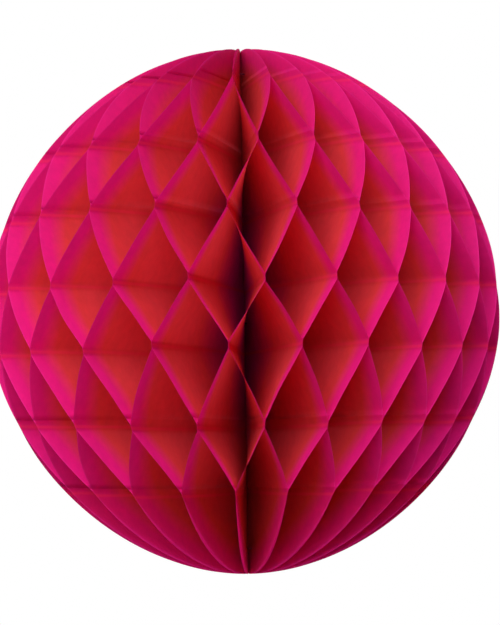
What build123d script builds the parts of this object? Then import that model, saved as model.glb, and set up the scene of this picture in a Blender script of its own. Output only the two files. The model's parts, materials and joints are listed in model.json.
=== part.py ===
from build123d import *
import os
from math import cos, radians, sin

# A paper honeycomb ball, opened full circle. Half-disc tissue sheets are stacked between two half-disc
# cover boards and bound along their straight edges, which become the ball's upright spine. Each sheet is
# glued to its two neighbours along rows of short glue lines that alternate, so that it zigzags between
# them when the ball is fanned open. The two boards meet at the back, held by adhesive dots.
#
# Frame: mm, +Z up the spine, origin at the ball's centre, front at -Y, and the boards' seam at +Y.
# A fold plane is one of the upright half planes through the spine where neighbouring sheets are glued.
# Plane 0 lies on the left board, plane SHEETS on the right one, and sheet i fills the gap from i to i + 1.

# Driving dimensions
BALL_HEIGHT = 200.0
BALL_WIDTH = 194.4
SHEET_COUNT = 48
GLUE_ROW_HEIGHTS = [83.0, 56.5, 32.0, 6.5, -16.5, -43.0, -68.0]
GLUE_LINE_HEIGHT = 4.0
TISSUE_THICKNESS = 0.2
GLUE_FILM = 0.05
BOARD_THICKNESS = 0.35
BOARD_INSET = 0.3
BOARD_SPINE_GAP = 1.0
DOT_THICKNESS = 0.1
DOT_RADIUS = 6.0
DOT_PLACES = {"top": (44.0, 58.0), "middle": (62.0, 0.0), "bottom": (44.0, -58.0)}
SPINE_CLEARANCE = 5.5
THREAD_HEIGHTS = {"top": 90.0, "middle": -5.0, "bottom": -90.0}
THREAD_LOOP_RADIUS = 7.0
THREAD_RADIUS = 0.3
NEEDLE_HOLE_RADIUS = 0.5
HANGING_HOLE_RADII = {-1: 1.5, 1: 1.75}
HANGING_HOLE_FROM_SPINE = 13.0
HANGING_HOLE_HEIGHT = 86.0

# The cells are opened a little unevenly: the planes are this many degrees off an even fan
SPREAD_FRONT = 2.0
SPREAD_LEFT = 2.9

EVEN_STEP = 360.0 / SHEET_COUNT
BLANK_REACH = 0.55 * BALL_HEIGHT
FILM_SHARE = (TISSUE_THICKNESS + GLUE_FILM) / 2


def plane_angle(k):
    """Degrees of fold plane k about the spine, from the front (-Y) towards +X."""
    even = EVEN_STEP * k - 180.0
    return even + SPREAD_FRONT * sin(radians(even)) + SPREAD_LEFT * (cos(radians(2 * even)) - 1)


def plane_offset(k):
    """How far fold plane k stands off the spine: the first and last lie on the boards' inner faces."""
    board_face = DOT_THICKNESS / 2 + BOARD_THICKNESS
    return {0: board_face, SHEET_COUNT: -board_face}.get(k, 0.0)


def point(angle, outward, across, z):
    """A point at a distance out from the spine in one direction and a distance across it."""
    a = radians(angle)
    return Vector(outward * sin(a) + across * cos(a), across * sin(a) - outward * cos(a), z)


def cross_section(angle, offset, z):
    """The thin level rectangle that a sheet fills at one height."""
    inner, outer = offset - TISSUE_THICKNESS / 2, offset + TISSUE_THICKNESS / 2
    corners = [(SPINE_CLEARANCE, inner), (BLANK_REACH, inner), (BLANK_REACH, outer), (SPINE_CLEARANCE, outer)]
    return Wire.make_polygon([point(angle, out, across, z) for out, across in corners], close=True)


def zigzag(i):
    """Sheet i's stations from the bottom up: height, and share of the way from plane i to plane i + 1."""
    stations = [(-BLANK_REACH, 0.5)]
    for row in reversed(range(len(GLUE_ROW_HEIGHTS))):
        side = (row + i) % 2
        for edge in (-GLUE_LINE_HEIGHT / 2, GLUE_LINE_HEIGHT / 2):
            stations.append((GLUE_ROW_HEIGHTS[row] + edge, side))
    stations.append((BLANK_REACH, 0.5))
    return stations


def half_disc(width, height, spine_gap):
    """The outline of a board or sheet laid flat, in the plane of the spine, from spine_gap outwards."""
    arc = EllipticalCenterArc((0, 0), width / 2, height / 2, start_angle=-90, arc_size=180)
    outline = make_face(arc + Line((0, height / 2), (0, -height / 2)))
    return outline - Rectangle(2 * spine_gap, height)


def ball_envelope():
    """The round shape that the outer edges of all the sheets are cut to."""
    return revolve(Plane.XZ * half_disc(BALL_WIDTH, BALL_HEIGHT, 0.001), Axis.Z)


def needle_holes():
    """The holes that the binding threads pass through, as rings about the spine."""
    return [Pos(0, 0, z) * Torus(THREAD_LOOP_RADIUS, NEEDLE_HOLE_RADIUS) for z in THREAD_HEIGHTS.values()]


def tissue_sheet(i, envelope, holes):
    angles = plane_angle(i), plane_angle(i + 1)
    offsets = plane_offset(i) + FILM_SHARE, plane_offset(i + 1) - FILM_SHARE
    sections = []
    for z, share in zigzag(i):
        angle = angles[0] + share * (angles[1] - angles[0])
        offset = offsets[0] + share * (offsets[1] - offsets[0])
        sections.append(cross_section(angle, offset, z))
    sheet = Solid.make_loft(sections, ruled=True) & envelope
    for hole in holes:
        sheet -= hole
    return sheet


def cover_board(side, holes):
    """A half disc of card on one side of the seam: side is -1 on the left and 1 on the right."""
    outline = half_disc(BALL_WIDTH - 2 * BOARD_INSET, BALL_HEIGHT - 2 * BOARD_INSET, BOARD_SPINE_GAP)
    board = Pos(side * DOT_THICKNESS / 2, 0, 0) * extrude(Plane.YZ * outline, side * BOARD_THICKNESS)
    hanging_hole = Rot(0, 90, 0) * Cylinder(HANGING_HOLE_RADII[side], 10 * BOARD_THICKNESS)
    board -= Pos(0, HANGING_HOLE_FROM_SPINE, HANGING_HOLE_HEIGHT) * hanging_hole
    for hole in holes:
        board -= hole
    return board


def binding_thread(z):
    return Pos(0, 0, z) * Torus(THREAD_LOOP_RADIUS, THREAD_RADIUS)


def adhesive_dot(from_spine, z):
    return Pos(0, from_spine, z) * Rot(0, 90, 0) * Cylinder(DOT_RADIUS, DOT_THICKNESS)


def parts():
    envelope, holes = ball_envelope(), needle_holes()
    yield "cover_board_left", cover_board(-1, holes)
    yield "cover_board_right", cover_board(1, holes)
    for i in range(SHEET_COUNT):
        yield f"tissue_sheet_{i + 1:02d}", tissue_sheet(i, envelope, holes)
    for place, z in THREAD_HEIGHTS.items():
        yield f"binding_thread_{place}", binding_thread(z)
    for place, (from_spine, z) in DOT_PLACES.items():
        yield f"adhesive_dot_{place}", adhesive_dot(from_spine, z)


os.makedirs("parts", exist_ok=True)
for name, shape in parts():
    export_step(shape, f"parts/{name}.step")
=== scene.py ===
import json
import math
import bpy
import numpy as np
from mathutils import Matrix, Vector

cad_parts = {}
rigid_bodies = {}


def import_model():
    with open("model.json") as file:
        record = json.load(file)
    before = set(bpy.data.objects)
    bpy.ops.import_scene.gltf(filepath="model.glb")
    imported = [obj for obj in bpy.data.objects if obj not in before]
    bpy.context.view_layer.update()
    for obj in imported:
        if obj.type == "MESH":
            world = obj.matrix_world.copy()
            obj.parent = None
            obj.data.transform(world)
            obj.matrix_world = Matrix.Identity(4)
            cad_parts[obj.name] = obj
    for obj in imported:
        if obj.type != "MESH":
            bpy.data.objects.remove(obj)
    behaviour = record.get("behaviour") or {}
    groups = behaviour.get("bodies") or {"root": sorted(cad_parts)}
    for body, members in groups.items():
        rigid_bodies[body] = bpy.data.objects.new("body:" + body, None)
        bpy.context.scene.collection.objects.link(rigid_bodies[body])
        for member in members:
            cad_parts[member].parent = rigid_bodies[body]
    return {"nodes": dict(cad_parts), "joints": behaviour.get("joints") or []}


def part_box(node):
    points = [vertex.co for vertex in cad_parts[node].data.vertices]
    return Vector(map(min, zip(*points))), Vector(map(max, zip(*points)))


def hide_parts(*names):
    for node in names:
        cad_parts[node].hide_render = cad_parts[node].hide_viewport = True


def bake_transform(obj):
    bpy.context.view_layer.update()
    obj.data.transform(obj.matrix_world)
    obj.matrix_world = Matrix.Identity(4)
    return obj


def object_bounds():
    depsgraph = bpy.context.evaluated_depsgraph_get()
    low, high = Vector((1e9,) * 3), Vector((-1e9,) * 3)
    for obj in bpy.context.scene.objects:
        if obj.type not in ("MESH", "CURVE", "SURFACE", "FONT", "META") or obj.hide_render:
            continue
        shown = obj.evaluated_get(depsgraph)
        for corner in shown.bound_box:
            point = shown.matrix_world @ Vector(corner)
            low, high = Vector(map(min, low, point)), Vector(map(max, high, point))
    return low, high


# A paper honeycomb ball: tissue half discs zigzag between upright fold planes that fan out from the
# spine. Metres and radians, in the frame's own axes: +Z up the spine, front at -Y, the seam at +Y.
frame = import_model()
cad_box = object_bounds()

# The tissue, as it was cut and glued
GLUE_ROWS = (0.0830, 0.0565, 0.0320, 0.0065, -0.0165, -0.0430, -0.0680)
GLUE_LINE = 0.0025
CREASE = 0.0010
SPINE_EDGE = 0.0003
# The outline's exponent: 2 would be an ellipse, and less is narrower towards the poles
OUTLINE_POWER = 1.93
GLUE_GAP = 0.000025
PINCH = 0.03
ROW_WANDER = 0.0005
# How far a glued pair parts again at the poles, as a share of its gap
POLE_PARTING = 0.10
# How far a wall bows, as a share of its gap, and the lengths of the waves that it bows in
BOW = 0.035
BOW_UP = 0.019
BOW_OUT = 0.031
RIPPLE_UP = 0.011
RIPPLE_OUT = 0.017
# The binding threads: two plies twisted, so many radians a metre
THREAD_TWIST = 2400.0
THREAD_GROOVE = 0.35
THREAD_END = 0.06
THREAD_RINGS = 90
THREAD_SIDES = 10
# Where the mesh has its points
RIM_COLUMNS = 22
RIM_CROWDING = 1.35
LEAST_REACH = 0.00005
ROW_STEP = 0.0005
RIM_STEP = 0.0022

# Where the photograph was taken from
CAMERA_DISTANCE = 0.80
CAMERA_AZIMUTH = math.radians(3.2)
CAMERA_ELEVATION = math.radians(-3.0)
CAMERA_ROLL = math.radians(0.9)
CAMERA_LENS = 150.7
AIM_RIGHT = 0.0022
AIM_UP = -0.0006

# The tissue's colours, from its cut edge inwards. They paint light and shade by depth: the lit magenta of the
# rim, the redder colour of light bounced between the walls in the cells, a lighter red deep in to make up for
# the shade there, and a purple painted shade at the spine.
EDGE_COLOUR_PAINTED_LIT = (0.92, 0.025, 0.32)
RIM_COLOUR_PAINTED_LIT = (0.86, 0.010, 0.24)
CELL_COLOUR_PAINTED_BOUNCE = (0.83, 0.056, 0.070)
DEEP_COLOUR_PAINTED_FILL = (0.97, 0.10, 0.15)
SPINE_COLOUR_PAINTED_SHADE = (0.90, 0.030, 0.48)
# The glue stripe's colour and how strongly it shows: partly the glue film, partly a painted highlight that
# makes the crease line lighter
GLUE_HIGHLIGHT_COLOUR = (0.98, 0.040, 0.16)
GLUE_HIGHLIGHT_SHOW = 0.42
TRANSLUCENCY = 0.48
# How far in from its cut edge the tissue's painted light and shade run, and its colour settles
PAINTED_LIGHT_DEPTH = 0.080

# The studio
BRIGHT_SIDE = (-0.40, -0.20, 0.89)
BRIGHT_LEVEL = 0.80
DARK_FROM = -0.1
LEFT_POWER = 0.7
TOP_POWER = 2.6
FRONT_POWER = 14.0
BACK_POWER = 4.0
FLOOR_GLOW = 0.5
FLOOR_HALF_SIZE = 1.5
FLOOR_DROP = 0.5

rng = np.random.default_rng(48)
half_height = (cad_box[1][2] - cad_box[0][2]) / 2
half_width = (cad_box[1][0] - cad_box[0][0]) / 2


# ---------------------------------------------------------------- shape

def smooth(t):
    t = np.clip(t, 0.0, 1.0)
    return t * t * (3 - 2 * t)


def fold_planes():
    """Each body's angle about the spine, in the sheets' order: a joint folds its child flat on its parent."""
    joints = frame["joints"]
    angles = {joints[0]["parent"]: -math.pi}
    for joint in joints:
        angles[joint["child"]] = angles[joint["parent"]] + math.radians(joint["range_deg"][1])
    return angles


def flat_height(z):
    """A glue row's height on the flat sheet, from its height at the opened ball's rim."""
    return z / (1 - PINCH * (1 - (z / half_height) ** 2))


def out_to_rim(s, t):
    """How far a point of the flat sheet is from the middle of the spine, as a share of the way to the rim."""
    out = (np.abs(s) / half_width) ** OUTLINE_POWER
    up = (np.abs(t) / half_height) ** OUTLINE_POWER
    return (out + up) ** (1 / OUTLINE_POWER)


def rim_at(t):
    """How far out the flat sheet's cut edge is at each height."""
    return half_width * np.clip(1 - (np.abs(t) / half_height) ** OUTLINE_POWER, 0, 1) ** (1 / OUTLINE_POWER)


def row_heights(count):
    """The glue rows' heights on the flat sheets at each fold plane, not quite in line."""
    rows = np.array([flat_height(z) for z in GLUE_ROWS])
    return rows + rng.normal(0, ROW_WANDER, (count, len(rows))).clip(-2 * ROW_WANDER, 2 * ROW_WANDER)


def stations():
    """Heights of a sheet's mesh rows: close together at the creases, and even along the rim between."""
    near = GLUE_LINE / 2 + 1.5 * CREASE
    ends = [-half_height]
    marks = []
    for row in sorted(flat_height(z) for z in GLUE_ROWS):
        ends += [row - near, row + near]
        marks += list(np.arange(row - near, row + near, ROW_STEP)[1:])
    ends.append(half_height)
    for low, high in zip(ends[::2], ends[1::2]):
        along = np.arcsin(np.clip(np.array((low, high)) / half_height, -1, 1))
        steps = math.ceil((along[1] - along[0]) * half_height / RIM_STEP)
        marks += list(half_height * np.sin(np.linspace(along[0], along[1], steps + 1)))
    return np.array(sorted(marks))


def zigzag(t, rows, sides):
    """How far across its gap a sheet lies at each height t: 0 on its first fold plane, 1 on the next."""
    order = np.argsort(rows)
    # past the last glue lines the glued pairs stay almost together, up to the poles
    lowest, highest = (abs(sides[j] - POLE_PARTING) for j in (order[0], order[-1]))
    knots_t, knots_w = [-half_height], [lowest]
    for j in order:
        knots_t += [rows[j] - GLUE_LINE / 2, rows[j] + GLUE_LINE / 2]
        knots_w += [sides[j], sides[j]]
    knots_t.append(half_height)
    knots_w.append(highest)
    w = np.zeros_like(t)
    taps = np.linspace(-1, 1, 9)
    weights = (1 - taps ** 2) ** 2
    for tap, weight in zip(taps, weights / weights.sum()):
        w += weight * np.interp(t + tap * CREASE / 2, knots_t, knots_w)
    return w


def sheet_mesh(i, angles, rows):
    """Sheet i's mesh, in its own flat coordinates (out from the spine, up it) and opened into place."""
    up = stations()
    out_share = 1 - (1 - np.linspace(0, 1, RIM_COLUMNS)) ** RIM_CROWDING
    t = np.repeat(up[:, None], RIM_COLUMNS, axis=1)
    s = SPINE_EDGE + (np.maximum(rim_at(up) - SPINE_EDGE, LEAST_REACH))[:, None] * out_share[None, :]
    sides = [(row + i) % 2 for row in range(len(GLUE_ROWS))]
    here = np.where(np.array(sides) == 0, rows[i], rows[i + 1])
    w = zigzag(up, here, sides)[:, None] * np.ones_like(s)
    # the walls between the glue lines bow a little, each its own way
    phase = rng.uniform(0, 2 * np.pi, 3)
    wave = np.sin(t / BOW_UP + phase[0]) * np.sin(s / BOW_OUT + phase[1])
    wave = wave + 0.5 * np.sin(t / RIPPLE_UP + s / RIPPLE_OUT + phase[2])
    w = w + BOW * wave * np.sin(np.pi * np.clip(w, 0, 1)) ** 2
    w = np.clip(w, 0, 1)
    step = angles[i + 1] - angles[i]
    angle = angles[i] + w * step
    across = GLUE_GAP * (1 - 2 * w)
    first, last = i == 0, i == len(angles) - 2
    if first or last:
        board = board_face()
        across = across + ((1 - w) * board if first else -w * board)
    z = t * (1 - PINCH * (s / half_width) ** 2)
    x = s * np.sin(angle) + across * np.cos(angle)
    y = across * np.sin(angle) - s * np.cos(angle)
    points = np.stack([x, y, z], axis=-1).reshape(-1, 3)
    n_up, n_out = s.shape
    index = np.arange(n_up * n_out).reshape(n_up, n_out)
    quads = np.stack([index[:-1, :-1], index[:-1, 1:], index[1:, 1:], index[1:, :-1]], axis=-1).reshape(-1, 4)
    nearest = np.abs(up[:, None] - here[None, :]).min(axis=1)
    # the glue stripe along each glue row, painted lighter: part glue film, part a painted highlight on the
    # crease
    glue = GLUE_HIGHLIGHT_SHOW * (1 - smooth((nearest - 0.0002) / 0.0006))
    # how deep each point lies in from the rim, which the tissue's painted light and shade follow
    depth = np.clip(half_height * (1 - out_to_rim(s, t)) / PAINTED_LIGHT_DEPTH, 0, 1)
    return {"points": points, "quads": quads, "share": w.reshape(-1), "depth": depth.reshape(-1),
            "uv": np.stack([s, t], axis=-1).reshape(-1, 2),
            "glue": np.repeat(glue[:, None], n_out, axis=1).reshape(-1)}


def board_face():
    """How far a board's inner face stands off the seam's plane."""
    low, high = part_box("cover_board_right")
    return max(abs(low[0]), abs(high[0]))


def make_mesh(name, data, material):
    mesh = bpy.data.meshes.new(name)
    mesh.from_pydata(data["points"].tolist(), [], data["quads"].tolist())
    if "uv" in data:
        layer = mesh.uv_layers.new(name="flat")
        loops = np.zeros(len(mesh.loops), int)
        mesh.loops.foreach_get("vertex_index", loops)
        layer.data.foreach_set("uv", data["uv"][loops].astype(np.float32).reshape(-1))
    for key in ("glue", "depth"):
        if key in data:
            mesh.attributes.new(key, "FLOAT", "POINT").data.foreach_set("value", data[key].astype(np.float32))
    mesh.shade_smooth()
    mesh.materials.append(material)
    mesh.update()
    piece = bpy.data.objects.new(name, mesh)
    bpy.context.scene.collection.objects.link(piece)
    return piece


# ---------------------------------------------------------------- materials

def node(tree, kind, **inputs):
    made = tree.nodes.new(kind)
    for key, value in inputs.items():
        made.inputs[key.replace("_", " ")].default_value = value
    return made


def ramp(tree, stops):
    """A colour ramp from a list of (position, colour)."""
    made = tree.nodes.new("ShaderNodeValToRGB")
    while len(made.color_ramp.elements) < len(stops):
        made.color_ramp.elements.new(0.5)
    for element, (position, colour) in zip(made.color_ramp.elements, stops):
        element.position = position
        element.color = (*colour, 1)
    return made


def mixed(tree, blend, factor, a, b):
    """Two colours mixed; each of factor, a and b is a socket or a value."""
    made = tree.nodes.new("ShaderNodeMix")
    made.data_type = "RGBA"
    made.blend_type = blend
    for socket, value in ((made.inputs["Factor"], factor), (made.inputs["A"], a), (made.inputs["B"], b)):
        if isinstance(value, bpy.types.NodeSocket):
            tree.links.new(value, socket)
        elif isinstance(value, tuple):
            socket.default_value = (*value, 1)
        else:
            socket.default_value = value
    return made.outputs["Result"]


def tissue_material():
    """Dyed tissue, mottled, with soft upright fibres, and painted light and shade by depth: magenta at its
    cut edge where it is lit, and redder in the cells for light bounced between the walls.
    """
    material = bpy.data.materials.new("tissue")
    material.use_nodes = True
    tree = material.node_tree
    link = tree.links.new
    shader = tree.nodes["Principled BSDF"]
    shader.inputs["Roughness"].default_value = 0.8
    shader.inputs["Specular IOR Level"].default_value = 0.2
    flat = tree.nodes.new("ShaderNodeUVMap")
    flat.uv_map = "flat"
    mottle = node(tree, "ShaderNodeTexNoise", Scale=260.0, Detail=4.0, Roughness=0.6)
    stretch = tree.nodes.new("ShaderNodeMapping")
    stretch.inputs["Scale"].default_value = (2600.0, 300.0, 1.0)
    fibre = node(tree, "ShaderNodeTexNoise", Scale=1.0, Detail=5.0, Roughness=0.7)
    link(flat.outputs["UV"], mottle.inputs["Vector"])
    link(flat.outputs["UV"], stretch.inputs["Vector"])
    link(stretch.outputs["Vector"], fibre.inputs["Vector"])
    depth = tree.nodes.new("ShaderNodeAttribute")
    depth.attribute_name = "depth"
    # painted light and shade by depth: lit magenta at the rim, redder in the cells for bounced light, a
    # lighter red deep in against the shade, and a purple painted shade at the spine
    painted_light_ramp = ramp(tree, [(0.0, EDGE_COLOUR_PAINTED_LIT), (0.006, RIM_COLOUR_PAINTED_LIT), (0.055, RIM_COLOUR_PAINTED_LIT), (0.14, CELL_COLOUR_PAINTED_BOUNCE),
                      (0.55, DEEP_COLOUR_PAINTED_FILL), (0.92, SPINE_COLOUR_PAINTED_SHADE)])
    link(depth.outputs["Fac"], painted_light_ramp.inputs["Fac"])
    cloudy = ramp(tree, [(0.30, (0.90, 0.90, 0.90)), (0.70, (1.0, 1.0, 1.0))])
    link(mottle.outputs["Fac"], cloudy.inputs["Fac"])
    streaks = ramp(tree, [(0.25, (0.93, 0.93, 0.93)), (0.75, (1.0, 1.0, 1.0))])
    link(fibre.outputs["Fac"], streaks.inputs["Fac"])
    colour = mixed(tree, "MULTIPLY", 1.0, painted_light_ramp.outputs["Color"], cloudy.outputs["Color"])
    colour = mixed(tree, "MULTIPLY", 1.0, colour, streaks.outputs["Color"])
    glue = tree.nodes.new("ShaderNodeAttribute")
    glue.attribute_name = "glue"
    # the glue stripe mixed in, lighter as a painted highlight on the crease as well as the glue's own colour
    colour = mixed(tree, "MIX", glue.outputs["Fac"], colour, GLUE_HIGHLIGHT_COLOUR)
    link(colour, shader.inputs["Base Color"])
    through = tree.nodes.new("ShaderNodeBsdfTranslucent")
    link(colour, through.inputs["Color"])
    bump = node(tree, "ShaderNodeBump", Strength=0.25, Distance=0.0002)
    link(fibre.outputs["Fac"], bump.inputs["Height"])
    link(bump.outputs["Normal"], shader.inputs["Normal"])
    mix = node(tree, "ShaderNodeMixShader", Fac=TRANSLUCENCY)
    link(shader.outputs["BSDF"], mix.inputs[1])
    link(through.outputs["BSDF"], mix.inputs[2])
    link(mix.outputs["Shader"], tree.nodes["Material Output"].inputs["Surface"])
    return material


def speckled_material(name, colours, scale, roughness, grain, depth):
    """A matt material mottled between two colours, with a fine grain in relief."""
    material = bpy.data.materials.new(name)
    material.use_nodes = True
    tree = material.node_tree
    shader = tree.nodes["Principled BSDF"]
    shader.inputs["Roughness"].default_value = roughness
    shader.inputs["Specular IOR Level"].default_value = 0.3
    place = tree.nodes.new("ShaderNodeTexCoord")
    clouds = node(tree, "ShaderNodeTexNoise", Scale=scale, Detail=6.0, Roughness=0.65)
    tree.links.new(place.outputs["Object"], clouds.inputs["Vector"])
    shade = ramp(tree, [(0.35, colours[0]), (0.65, colours[1])])
    tree.links.new(clouds.outputs["Fac"], shade.inputs["Fac"])
    tree.links.new(shade.outputs["Color"], shader.inputs["Base Color"])
    fine = node(tree, "ShaderNodeTexNoise", Scale=grain, Detail=5.0, Roughness=0.7)
    tree.links.new(place.outputs["Object"], fine.inputs["Vector"])
    bump = node(tree, "ShaderNodeBump", Strength=0.4, Distance=depth)
    tree.links.new(fine.outputs["Fac"], bump.inputs["Height"])
    tree.links.new(bump.outputs["Normal"], shader.inputs["Normal"])
    return material


def card_material():
    """Dyed card of a slightly deeper pink than the tissue, with its fibres showing."""
    return speckled_material("card", [(0.52, 0.010, 0.11), (0.62, 0.016, 0.14)], 900.0, 0.65, 4000.0, 0.00008)


def adhesive_material():
    """Double-sided foam dots, off-white and a little uneven."""
    colours = [(0.74, 0.73, 0.69), (0.84, 0.83, 0.80)]
    return speckled_material("adhesive", colours, 700.0, 0.45, 2500.0, 0.00005)


def thread_material():
    """Cotton thread, dyed dark."""
    colours = [(0.10, 0.002, 0.02), (0.16, 0.003, 0.03)]
    return speckled_material("thread", colours, 3000.0, 0.85, 9000.0, 0.00006)


def floor_material():
    """A pale painted floor with a faint cloudiness, and a little glow to keep it pale in this light."""
    colours = [(0.86, 0.86, 0.86), (0.91, 0.91, 0.91)]
    material = speckled_material("floor", colours, 6.0, 0.8, 300.0, 0.0003)
    shader = material.node_tree.nodes["Principled BSDF"]
    shader.inputs["Emission Color"].default_value = (1, 1, 1, 1)
    shader.inputs["Emission Strength"].default_value = FLOOR_GLOW
    return material


# ---------------------------------------------------------------- the ball

def build_sheets():
    planes = fold_planes()
    angles = np.array(list(planes.values()))
    rows = row_heights(len(angles))
    tissue = tissue_material()
    for i, joint in enumerate(frame["joints"]):
        data = sheet_mesh(i, angles, rows)
        piece = make_mesh(f"tissue_{i + 1:02d}", data, tissue)
        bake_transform(piece)
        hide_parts(f"tissue_sheet_{i + 1:02d}")


def thread_mesh(first, last, height, radius, thickness):
    """A stretch of two-ply thread on a ring about the spine, with each ring of points' angle."""
    turns = np.linspace(first, last, THREAD_RINGS)
    around = np.linspace(0, 2 * np.pi, THREAD_SIDES, endpoint=False)
    turn, side = np.meshgrid(turns, around, indexing="ij")
    ply = THREAD_TWIST * turn * radius
    size = thickness * (1 - THREAD_GROOVE * np.sin(side - ply) ** 2)
    out = radius + size * np.cos(side)
    points = np.stack([out * np.sin(turn), -out * np.cos(turn), height + size * np.sin(side)], axis=-1)
    index = np.arange(turn.size).reshape(turn.shape)
    beside = np.roll(index, -1, axis=1)
    quads = np.stack([index[:-1], beside[:-1], beside[1:], index[1:]], axis=-1).reshape(-1, 4)
    return {"points": points.reshape(-1, 3), "quads": quads, "turn": turn.reshape(-1)}


def build_threads():
    """Each stitch rings the spine, a quarter at a time."""
    planes = fold_planes()
    thread = thread_material()
    carriers = {joint["parent"] for joint in frame["joints"]} | {frame["joints"][-1]["child"]}
    quarters = [joint for joint in frame["joints"] if joint["child"] in carriers]
    for place in ("top", "middle", "bottom"):
        low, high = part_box(f"binding_thread_{place}")
        thickness = (high[2] - low[2]) / 2
        radius = (high[0] - low[0]) / 2 - thickness
        for number, joint in enumerate(quarters, 1):
            start, end = planes[joint["parent"]], planes[joint["child"]]
            first, last = max(start, THREAD_END - math.pi), min(end, math.pi - THREAD_END)
            data = thread_mesh(first, last, (low[2] + high[2]) / 2, radius, thickness)
            piece = make_mesh(f"stitch_{place}_{number}", data, thread)
            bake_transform(piece)
            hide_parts(f"binding_thread_{place}")


def dress_cad_nodes():
    """The cover boards and adhesive dots are right as the CAD has them, and only need their materials."""
    card, adhesive = card_material(), adhesive_material()
    for name, obj in frame["nodes"].items():
        material = card if name.startswith("cover") else adhesive if name.startswith("adhesive") else None
        if material:
            obj.data.materials.clear()
            obj.data.materials.append(material)


# ---------------------------------------------------------------- stage

def area_light(name, at, size, power):
    light = bpy.data.lights.new(name, "AREA")
    light.shape = "DISK"
    light.size = size
    light.energy = power
    obj = bpy.data.objects.new(name, light)
    obj.location = at
    obj.rotation_euler = (-Vector(at)).to_track_quat("-Z", "Y").to_euler()
    bpy.context.scene.collection.objects.link(obj)


def studio_world():
    """White to the eye, but it lights the ball from above and the left, and not from below."""
    world = bpy.data.worlds.new("studio")
    world.use_nodes = True
    tree = world.node_tree
    link = tree.links.new
    background = tree.nodes["Background"]
    background.inputs["Color"].default_value = (1, 1, 1, 1)
    seen = tree.nodes.new("ShaderNodeLightPath")
    direction = tree.nodes.new("ShaderNodeTexCoord")
    towards = tree.nodes.new("ShaderNodeVectorMath")
    towards.operation = "DOT_PRODUCT"
    towards.inputs[1].default_value = BRIGHT_SIDE
    link(direction.outputs["Generated"], towards.inputs[0])
    level = tree.nodes.new("ShaderNodeMapRange")
    for key, value in {"From Min": DARK_FROM, "From Max": 1.0, "To Min": 0.0, "To Max": BRIGHT_LEVEL}.items():
        level.inputs[key].default_value = value
    link(towards.outputs["Value"], level.inputs["Value"])
    strength = tree.nodes.new("ShaderNodeMix")
    strength.inputs["B"].default_value = 1.0
    link(seen.outputs["Is Camera Ray"], strength.inputs["Factor"])
    link(level.outputs["Result"], strength.inputs["A"])
    link(strength.outputs["Result"], background.inputs["Strength"])
    bpy.context.scene.world = world


def floor():
    size, height = FLOOR_HALF_SIZE, -FLOOR_DROP
    mesh = bpy.data.meshes.new("floor")
    corners = [(-size, -size, height), (size, -size, height), (size, size, height), (-size, size, height)]
    mesh.from_pydata(corners, [], [(0, 1, 2, 3)])
    mesh.materials.append(floor_material())
    plane = bpy.data.objects.new("floor", mesh)
    bpy.context.scene.collection.objects.link(plane)
    plane.visible_diffuse = False


def stage():
    studio_world()
    floor()
    area_light("left_softbox", (-1.05, -0.55, 0.45), 0.9, LEFT_POWER)
    area_light("top_softbox", (-0.20, -0.40, 1.1), 0.5, TOP_POWER)
    area_light("front_softbox", (-0.20, -1.02, 0.46), 1.1, FRONT_POWER)
    area_light("back_fill", (0.45, 1.20, 0.50), 0.8, BACK_POWER)
    bpy.context.scene.view_settings.view_transform = "Standard"


def camera():
    d = Vector((math.sin(CAMERA_AZIMUTH) * math.cos(CAMERA_ELEVATION),
                -math.cos(CAMERA_AZIMUTH) * math.cos(CAMERA_ELEVATION), math.sin(CAMERA_ELEVATION)))
    level = Vector((math.cos(CAMERA_AZIMUTH), math.sin(CAMERA_AZIMUTH), 0))
    upright = d.cross(level)
    right = level * math.cos(CAMERA_ROLL) - upright * math.sin(CAMERA_ROLL)
    up = level * math.sin(CAMERA_ROLL) + upright * math.cos(CAMERA_ROLL)
    data = bpy.data.cameras.new("camera")
    data.sensor_fit = "HORIZONTAL"
    data.sensor_width = 36
    data.lens = CAMERA_LENS
    obj = bpy.data.objects.new("camera", data)
    at = d * CAMERA_DISTANCE + right * AIM_RIGHT + up * AIM_UP
    obj.matrix_world = Matrix(((right.x, up.x, d.x, at.x), (right.y, up.y, d.y, at.y),
                               (right.z, up.z, d.z, at.z), (0, 0, 0, 1)))
    bpy.context.scene.collection.objects.link(obj)
    bpy.context.scene.camera = obj


build_sheets()
build_threads()
dress_cad_nodes()
stage()
camera()
